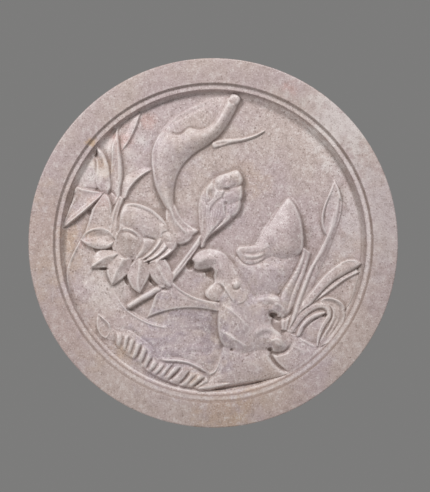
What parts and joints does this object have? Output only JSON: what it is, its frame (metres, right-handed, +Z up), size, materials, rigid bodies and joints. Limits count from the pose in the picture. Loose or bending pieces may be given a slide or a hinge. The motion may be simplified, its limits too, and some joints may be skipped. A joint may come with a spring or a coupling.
{
  "type": "stone relief panel",
  "caption": "Round wall panel carved from one slab of stone, with a plain raised rim round a sunk relief of lotus, reeds and rock.",
  "frame": {"origin": "centre of the flat round back, where the panel meets the wall", "axes": "+Z up, +Y out of the back into the wall, so that the carved front faces -Y"},
  "size_m": [0.45, 0.05, 0.45],
  "materials": {
    "stone": "fine-grained pinkish-beige sandstone, rubbed smooth and lightly waxed"
  },
  "bodies": {
    "root": {"relief_panel": "stone"}
  },
  "joints": []
}
